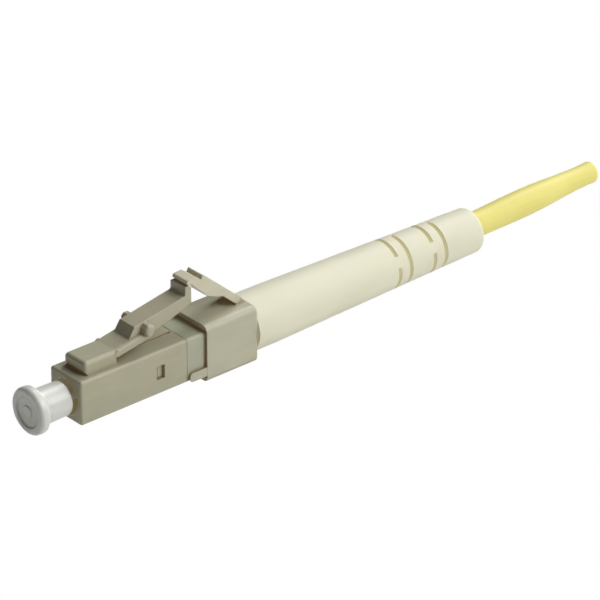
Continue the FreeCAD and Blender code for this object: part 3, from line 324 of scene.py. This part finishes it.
# %% [markdown]
# ## The soft boot
#
# The boot is a matt elastomer, ivory rather than white. Such rubber scatters light just under its
# skin, so its shading is gentle, and its slots glow a little warmer than its outside. The mould
# halves leave a faint line along each side, and handling leaves a slight sheen that comes and goes.
# A little subsurface scattering softens the shading, and the mould line is a narrow band in the
# bump. The slots get a painted shade in their colour, and an emission that only they have is
# painted light for their glow.

# %% Boot elastomer
MOULD_LINE_MM = 0.03


def boot_elastomer():
    """Matt ivory rubber, a mould line along each side, painted shade and glow in the slots."""
    finish = Finish("boot_ivory")
    clouds = finish.noise(0.22, 3.0, finish.stretched(0.5, 1.0, 1.0))
    grain = finish.noise(15.0, 3.0, roughness=0.6)
    gap = finish.crevices(0.8)
    rounded = finish.soft_normal(0.06)
    side = finish.axis("Z")
    mould_line = 1 - (side * side).above(MOULD_LINE_MM ** 2, 0.0016)
    base = finish.mix(clouds, linear(217, 214, 191), linear(228, 225, 204))
    base = finish.mix(mould_line * 0.08, base, linear(212, 208, 184))
    # Painted shade: the colour darkens in the slots.
    base = finish.mix((gap * 1.3).between(0.0, 1.0), base, linear(196, 190, 158))
    relief = grain * 0.5 + clouds * 0.2 + mould_line * 0.15
    return finish.close(
        Base_Color=base,
        Roughness=0.52 + (clouds - 0.5) * 0.2,
        Normal=finish.bump(relief, 0.25, 0.015, rounded),
        # Painted light: the slots glow with a weak emission.
        Emission_Color=finish.mix(((gap - 0.3) * 2.2).between(0.0, 1.0), BLACK,
                                  linear(138, 135, 112)),
        Emission_Strength=1.0,
        Subsurface_Weight=0.18,
        Subsurface_Radius=(0.6, 0.5, 0.3),
        Subsurface_Scale=MM,
        Specular_IOR_Level=0.25,
        IOR=1.45)


finishes["boot"] = boot_elastomer()
print("boot finish ready")

# %% [markdown]
# ## The yellow jacket
#
# The cord's jacket is extruded, so whatever unevenness it has runs along it: long faint streaks
# from the die and a slight waxy bloom. It is pale yellow and a touch translucent. Streaks are a
# noise that is stretched along the cord and squeezed round it.

# %% Cord jacket


def cord_jacket():
    """Extruded pale yellow jacket with streaks along the cord."""
    finish = Finish("jacket_yellow")
    streaks = finish.noise(2.2, 3.0, finish.stretched(0.06, 1.0, 1.0))
    clouds = finish.noise(0.3, 2.0)
    grain = finish.noise(18.0, 2.0)
    base = finish.mix(clouds * 0.6 + streaks * 0.4, linear(222, 211, 112), linear(234, 225, 142))
    # Painted shade: the yellow goes deeper in crevices.
    gap = finish.crevices(1.2)
    base = finish.mix((gap * 1.2).between(0.0, 1.0), base, linear(205, 185, 70))
    return finish.close(
        Base_Color=base,
        Roughness=0.42 + (streaks - 0.5) * 0.2,
        Normal=finish.bump(streaks * 0.8 + grain * 0.2, 0.2, 0.02),
        Subsurface_Weight=0.12,
        Subsurface_Radius=(0.6, 0.5, 0.15),
        Subsurface_Scale=MM,
        Specular_IOR_Level=0.25,
        IOR=1.48)


finishes["cable_jacket"] = cord_jacket()
print("jacket finish ready")

# %% [markdown]
# ## The milky dust cap
#
# The cap is a natural, unpigmented polymer about half a millimetre thick: milky, slightly
# greyish, with soft highlights. A clear glass recipe would show the pin inside, which the real
# cap hides, so it is an opaque white with strong scattering and a smooth skin. A dished front
# holds a small gate mark where the melt came in.

# %% Dust cap
GATE_RADIUS_MM = 0.28


def milky_cap():
    """Milky polymer with a smooth skin and a gate mark in the middle of its front."""
    finish = Finish("cap_white")
    clouds = finish.noise(0.5, 2.0)
    ripples = finish.noise(3.5, 2.0)
    gap = finish.crevices(0.9)
    across, up = finish.axis("Y"), finish.axis("Z")
    from_centre = (across * across + up * up) ** 0.5
    gate = 1 - from_centre.above(GATE_RADIUS_MM, 0.1)
    rounded = finish.soft_normal(0.08)
    base = finish.mix(clouds, linear(211, 212, 205), linear(221, 222, 216))
    # Painted shade: the colour goes a darker grey in crevices.
    base = finish.mix((gap * 1.1).between(0.0, 1.0), base, linear(150, 148, 128))
    return finish.close(
        Base_Color=base,
        Roughness=0.34 + (ripples - 0.5) * 0.14,
        Normal=finish.bump(ripples * 0.4 - gate * 0.8, 0.3, 0.03, rounded),
        Subsurface_Weight=0.3,
        Subsurface_Radius=(1.0, 1.0, 0.9),
        Subsurface_Scale=MM,
        Coat_Weight=0.15,
        Coat_Roughness=0.15,
        IOR=1.5)


finishes["dust_cap"] = milky_cap()
print("cap finish ready")

# %% [markdown]
# ## What is hidden inside
#
# The pin, its metal hub, the spring, the crimp and the fibre only show when the cap is off or the
# cord is seen from behind. They still get their own finishes, because someone will open the model
# up. Metals get turning marks round the fibre's axis, which is a noise of the distance along it.

# %% Inner parts


def turned_metal(name, colour, roughness):
    """Plated metal with fine turning marks round the fibre's axis."""
    finish = Finish(name)
    marks = finish.noise(9.0, 3.0, finish.stretched(4.0, 0.15, 0.15))
    stain = finish.noise(0.8, 3.0)
    return finish.close(
        Base_Color=finish.mix(stain, shaded(colour, 0.82), colour),
        Metallic=1.0,
        Roughness=roughness + (marks - 0.5) * 0.2,
        Normal=finish.bump(marks, 0.25, 0.006))


def plain_inner(name, low, high, scale, roughness, **more):
    """An inner part's finish: two close shades and a fine skin."""
    finish = Finish(name)
    clouds = finish.noise(scale, 3.0)
    return finish.close(
        Base_Color=finish.mix(clouds, low, high),
        Roughness=roughness + (clouds - 0.5) * 0.12,
        Normal=finish.bump(finish.noise(scale * 12, 2.0), 0.15, 0.006),
        **more)


def aramid_finish():
    """Golden yarn: fibres along the cord, with their sheen."""
    finish = Finish("aramid")
    fibres = finish.noise(7.0, 4.0, finish.stretched(0.05, 1.0, 1.0), 0.7)
    return finish.close(
        Base_Color=finish.mix(fibres, linear(176, 148, 62), linear(236, 216, 132)),
        Roughness=0.5 + (fibres - 0.5) * 0.3,
        Normal=finish.bump(fibres, 0.6, 0.05))


finishes["ferrule"] = plain_inner("zirconia", linear(236, 235, 228), linear(246, 245, 240), 1.0,
                                  0.16, Coat_Weight=0.4, Coat_Roughness=0.05)
finishes["ferrule_flange"] = turned_metal("flange_metal", linear(205, 206, 208), 0.3)
finishes["crimp_ring"] = turned_metal("crimp_metal", linear(200, 200, 198), 0.36)
finishes["ferrule_spring"] = turned_metal("spring_steel", linear(186, 188, 192), 0.28)
finishes["guide_tube"] = plain_inner("tube_clear", linear(222, 222, 214), linear(236, 236, 230),
                                     0.6, 0.4)
finishes["epoxy_fill"] = plain_inner("epoxy_amber", linear(160, 96, 30), linear(196, 128, 50),
                                     1.6, 0.2)
finishes["fibre_buffer"] = plain_inner("buffer_white", linear(228, 228, 222),
                                       linear(240, 240, 236), 0.8, 0.45)
finishes["fibre_coating"] = plain_inner("coating", linear(206, 214, 224), linear(222, 228, 236),
                                        2.0, 0.3)
finishes["glass_fibre"] = plain_inner("silica", linear(232, 240, 244), linear(244, 250, 252), 2.0,
                                      0.08, Coat_Weight=0.6, Coat_Roughness=0.03)
finishes["aramid_yarn"] = aramid_finish()

for node_name, material in finishes.items():
    mesh = nodes[node_name].data
    mesh.materials.clear()
    mesh.materials.append(material)
print("painted", len(finishes), "of", len(nodes), "nodes")

# %% [markdown]
# ## Selecting without a mouse
#
# Edit mode's operators act on all that is selected. By hand one would click on faces. In a script
# they are picked by their place: a test says whether a face's or an edge's middle belongs to the
# selection. Before a new primitive is added, everything else is deselected, so that nothing that
# was left selected gets moved or joined by mistake.

# %% Selecting by place


def start_fresh():
    """Leave nothing selected, so that an operator acts only on what comes next."""
    if bpy.context.object and bpy.context.object.mode != "OBJECT":
        bpy.ops.object.mode_set(mode="OBJECT")
    bpy.ops.object.select_all(action="DESELECT")


def pick(thing, mode, test):
    """Select the faces or edges whose middle or corners pass a test, and go into edit mode."""
    bpy.ops.object.mode_set(mode="EDIT")
    bpy.ops.mesh.select_mode(type=mode)
    bpy.ops.mesh.select_all(action="DESELECT")
    bpy.ops.object.mode_set(mode="OBJECT")
    mesh = thing.data
    for item in (mesh.polygons if mode == "FACE" else mesh.edges):
        corners = [mesh.vertices[index].co for index in item.vertices]
        middle = sum(corners, Vector()) / len(corners)
        item.select = test(middle, corners)
    bpy.ops.object.mode_set(mode="EDIT")


start_fresh()
print("selected now:", len(bpy.context.selected_objects))

# %% [markdown]
# ## Where the latch grows out of its block
#
# In the CAD model a hair-thin round cut frees the latch at its root, so that it can turn. The real
# moulding has no cut there: the plastic simply bends. A skin a few thousandths of a millimetre
# thick closes it. It starts as a cube, loses the faces that nobody needs, gets the block's rounded
# edges and is then drawn out along the latch's slope.

# %% A cube as the skin's start
SKIN_MM = 0.006
BLOCK_HALF_MM = 1.53
BLOCK_TOP_MM = 3.6
BLOCK_ROUND_MM = 0.4
SKIN_FOOT_MM = 3.0
SKIN_FRONT_MM, SEAM_MM = 4.5, 4.77

start_fresh()
bpy.ops.mesh.primitive_cube_add(size=1.0)
latch_skin = bpy.context.object
latch_skin.name = "latch_root_skin"
tall = BLOCK_TOP_MM + SKIN_MM - SKIN_FOOT_MM
wide = 2 * (BLOCK_HALF_MM + SKIN_MM)
bpy.ops.object.mode_set(mode="EDIT")
bpy.ops.mesh.select_all(action="SELECT")
bpy.ops.transform.resize(value=((SEAM_MM - SKIN_FRONT_MM) * MM, wide * MM, tall * MM))
bpy.ops.transform.translate(value=((SEAM_MM + SKIN_FRONT_MM) / 2 * MM, 0,
                                   (SKIN_FOOT_MM + tall / 2) * MM))
bpy.ops.object.mode_set(mode="OBJECT")
print("cube in mm:", [round(side / MM, 3) for side in latch_skin.dimensions])

# %% From the cube to the skin
LATCH_SLOPE = 0.18
PULLS, PULL_MM = 4, 0.08

pick(latch_skin, "FACE", lambda middle, corners: middle.z < (SKIN_FOOT_MM + 0.1) * MM
     or middle.x < (SKIN_FRONT_MM + 0.05) * MM or middle.x > (SEAM_MM - 0.05) * MM)
bpy.ops.mesh.delete(type="FACE")
pick(latch_skin, "EDGE", lambda middle, corners: middle.z > (BLOCK_TOP_MM - 0.05) * MM
     and abs(middle.y) > BLOCK_HALF_MM * MM)
bpy.ops.mesh.bevel(offset=BLOCK_ROUND_MM * MM, segments=8, affect="EDGES")
pick(latch_skin, "EDGE", lambda middle, corners: min(corner.x for corner in corners)
     > (SEAM_MM - 0.001) * MM)
for pull in range(PULLS):
    bpy.ops.mesh.extrude_region_move(
        TRANSFORM_OT_translate={"value": (PULL_MM * MM, 0, PULL_MM * LATCH_SLOPE * MM)})
bpy.ops.object.mode_set(mode="OBJECT")
bpy.ops.object.shade_smooth_by_angle(angle=math.radians(50))
latch_skin.data.materials.append(housing_beige)
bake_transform(latch_skin)
print("skin faces:", len(latch_skin.data.polygons))

# %% [markdown]
# ## Cut ends of the yarn
#
# At the cut end of the cord the yarn round the buffer shows as a ring of short, uneven bristles.
# It could be a particle system, but a few dozen real strands are easier to keep inside the jacket.
# One strand is modelled from a thin cylinder, narrowed at its tip, and then copied in two rings.
# Each copy stands out a little more or less and leans slightly, so the bundle looks cut and not
# turned on a lathe.

# %% One strand
YARN_RADIUS_MM = 0.8
STRAND_LENGTH = 0.42 * MM
STRAND_RADIUS = 0.055 * MM
TIP_FROM = 0.49
TIP_SIZE = (1, 0.45, 0.7)
CORD_SLOPE = 0.0369

start_fresh()
bpy.ops.mesh.primitive_cylinder_add(vertices=8, radius=STRAND_RADIUS, depth=STRAND_LENGTH,
                                    rotation=(0, math.pi / 2, 0))
strand = bpy.context.object
bpy.ops.object.transform_apply(rotation=True)
pick(strand, "FACE", lambda middle, corners: middle.x > STRAND_LENGTH * TIP_FROM)
bpy.ops.transform.resize(value=TIP_SIZE)
bpy.ops.object.mode_set(mode="OBJECT")
print("strand faces:", len(strand.data.polygons))

# %% Two rings of strands
YARN_RINGS = ((0.535, 21), (0.67, 27))

copies = []
for ring_radius, count in YARN_RINGS:
    for index in range(count):
        turn = 2 * math.pi * (index + ring_radius) / count
        spread = 0.02 * math.sin(index * 2.4)
        shift = 0.05 * math.sin(index * 3.7 + ring_radius)
        copy = strand.copy()
        copy.data = strand.data.copy()
        bpy.context.collection.objects.link(copy)
        reach = (ring_radius + spread) * MM
        place = Vector((0, reach * math.cos(turn), reach * math.sin(turn)))
        lean = Matrix.Rotation(0.12 * math.sin(index * 5.1), 4, "Y")
        side = Matrix.Rotation(0.12 * math.cos(index * 4.3), 4, "Z")
        copy.data.transform(Matrix.Translation(place + Vector((shift * MM, 0, 0))) @ lean @ side)
        copies.append(copy)
bpy.data.objects.remove(strand)

start_fresh()
for copy in copies:
    copy.select_set(True)
bpy.context.view_layer.objects.active = copies[0]
bpy.ops.object.join()
yarn_strands = bpy.context.object
yarn_strands.name = "yarn_strands"
yarn_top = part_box("aramid_yarn")[1]
cord_end = Vector((yarn_top.x + STRAND_LENGTH * 0.3, 0, yarn_top.z - YARN_RADIUS_MM * MM))
yarn_strands.data.transform(Matrix.Translation(cord_end)
                            @ Matrix.Rotation(-math.atan(CORD_SLOPE), 4, "Y"))
yarn_strands.data.materials.clear()
yarn_strands.data.materials.append(finishes["aramid_yarn"])
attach(yarn_strands, "plug")
print("strands:", len(copies), "faces:", len(yarn_strands.data.polygons))

# %% [markdown]
# ## The floor
#
# A small product is usually lit in a white tent, on a floor so bright that no shadow is left. The
# floor here could be a plain white plane under strong lamps, but such lamps would burn out the pale
# boot. So the material looks at what kind of ray asks: to the camera and to reflections the floor
# is plain white, and to every other ray it is a matt surface that bounces light up onto the plug.

# %% The floor
FLOOR_SIZE = 6.0

floor_height = cad_box[0].z
start_fresh()
bpy.ops.mesh.primitive_plane_add(size=FLOOR_SIZE, location=(0, 0, floor_height))
floor = bpy.context.object
floor.name = "floor"
bpy.ops.object.transform_apply(location=True)


def floor_finish():
    """Matt pale floor that is plain white to the camera and in reflections."""
    finish = Finish("pale_floor")
    matt = finish.node("ShaderNodeBsdfDiffuse", {}, {"Color": (0.8, 0.8, 0.78, 1)})
    glow = finish.node("ShaderNodeEmission", {}, {"Color": (1, 1, 1, 1), "Strength": 1.0})
    path = finish.node("ShaderNodeLightPath")
    seen = Signal(finish, path.outputs["Is Camera Ray"])
    seen = seen + Signal(finish, path.outputs["Is Glossy Ray"])
    seen = (seen + Signal(finish, path.outputs["Is Transmission Ray"])).between(0.0, 1.0)
    return finish.show(finish.node("ShaderNodeMixShader", {}, {0: seen, 1: matt.outputs[0],
                                                               2: glow.outputs[0]}))


floor.data.materials.append(floor_finish())
print("floor at %.2f mm" % (floor_height / MM))

# %% [markdown]
# ## The tent and its lamps
#
# The world is the tent: a weak light from all round, and white where the camera looks past the
# floor. Light from all round alone would leave the plug flat. So one large soft lamp stands to the
# right and one behind, and the faces toward the cap fall into a gentle shade that makes the form
# read. Both are square area lamps, turned toward a point near the middle of the plug.

# %% The tent


def tent_world():
    """A world that lights weakly from all round and is white to the camera."""
    finish = Finish("tent", bpy.data.worlds.new("tent"))
    weak = finish.node("ShaderNodeBackground", {}, {"Color": (1.0, 0.995, 0.985, 1),
                                                    "Strength": 0.09})
    white = finish.node("ShaderNodeBackground", {}, {"Color": (1, 1, 1, 1), "Strength": 1.0})
    seen = finish.node("ShaderNodeLightPath").outputs["Is Camera Ray"]
    return finish.show(finish.node("ShaderNodeMixShader", {}, {0: seen, 1: weak.outputs[0],
                                                               2: white.outputs[0]}))


scene.world = tent_world()
print("world:", scene.world.name)

# %% The lamps
AIM_MM = (25, 0, 0)


def soft_lamp(name, place_mm, size_mm, power):
    """A square soft box, aimed at the middle of the plug."""
    data = bpy.data.lights.new(name, "AREA")
    data.size = size_mm * MM
    data.energy = power
    lamp = bpy.data.objects.new(name, data)
    scene.collection.objects.link(lamp)
    place, aim = Vector(place_mm) * MM, Vector(AIM_MM) * MM
    lamp.location = place
    lamp.rotation_mode = "QUATERNION"
    lamp.rotation_quaternion = (aim - place).to_track_quat("-Z", "Y")


soft_lamp("right_lamp", (150, -260, 230), 260, 1.06)
soft_lamp("rear_lamp", (310, 80, 280), 240, 1.12)

# %% [markdown]
# ## The camera
#
# A long lens from nearly half a metre keeps the plug's edges almost parallel, as catalogues like
# it. The camera could be turned by hand until it looks right. Here its three axes are worked out
# from an azimuth and an elevation, and it then slides sideways and up in its own plane, which moves
# the plug within the view without changing what is seen of it.

# %% The camera
AZIMUTH = math.radians(-40.78)
ELEVATION = math.radians(28.64)
DISTANCE = 450 * MM
SLIDE_RIGHT, SLIDE_UP = 21.365 * MM, 8.773 * MM
LENS_MM, SENSOR_MM = 295.98, 36
NEAR, FAR = 0.01, 20

right = Vector((math.cos(AZIMUTH), math.sin(AZIMUTH), 0))
up = Vector((-math.sin(AZIMUTH) * math.sin(ELEVATION), math.cos(AZIMUTH) * math.sin(ELEVATION),
             math.cos(ELEVATION)))
back = right.cross(up)
camera_data = bpy.data.cameras.new("camera")
camera_data.lens = LENS_MM
camera_data.sensor_width = SENSOR_MM
camera_data.clip_start = NEAR
camera_data.clip_end = FAR
camera = bpy.data.objects.new("camera", camera_data)
scene.collection.objects.link(camera)
facing = Matrix((right, up, back)).transposed().to_4x4()
eye = back * DISTANCE + right * SLIDE_RIGHT + up * SLIDE_UP
camera.matrix_world = Matrix.Translation(eye) @ facing
scene.camera = camera
scene.view_settings.view_transform = "Standard"
print("camera at", [round(part / MM, 1) for part in eye], "mm")

# %% [markdown] ## The end
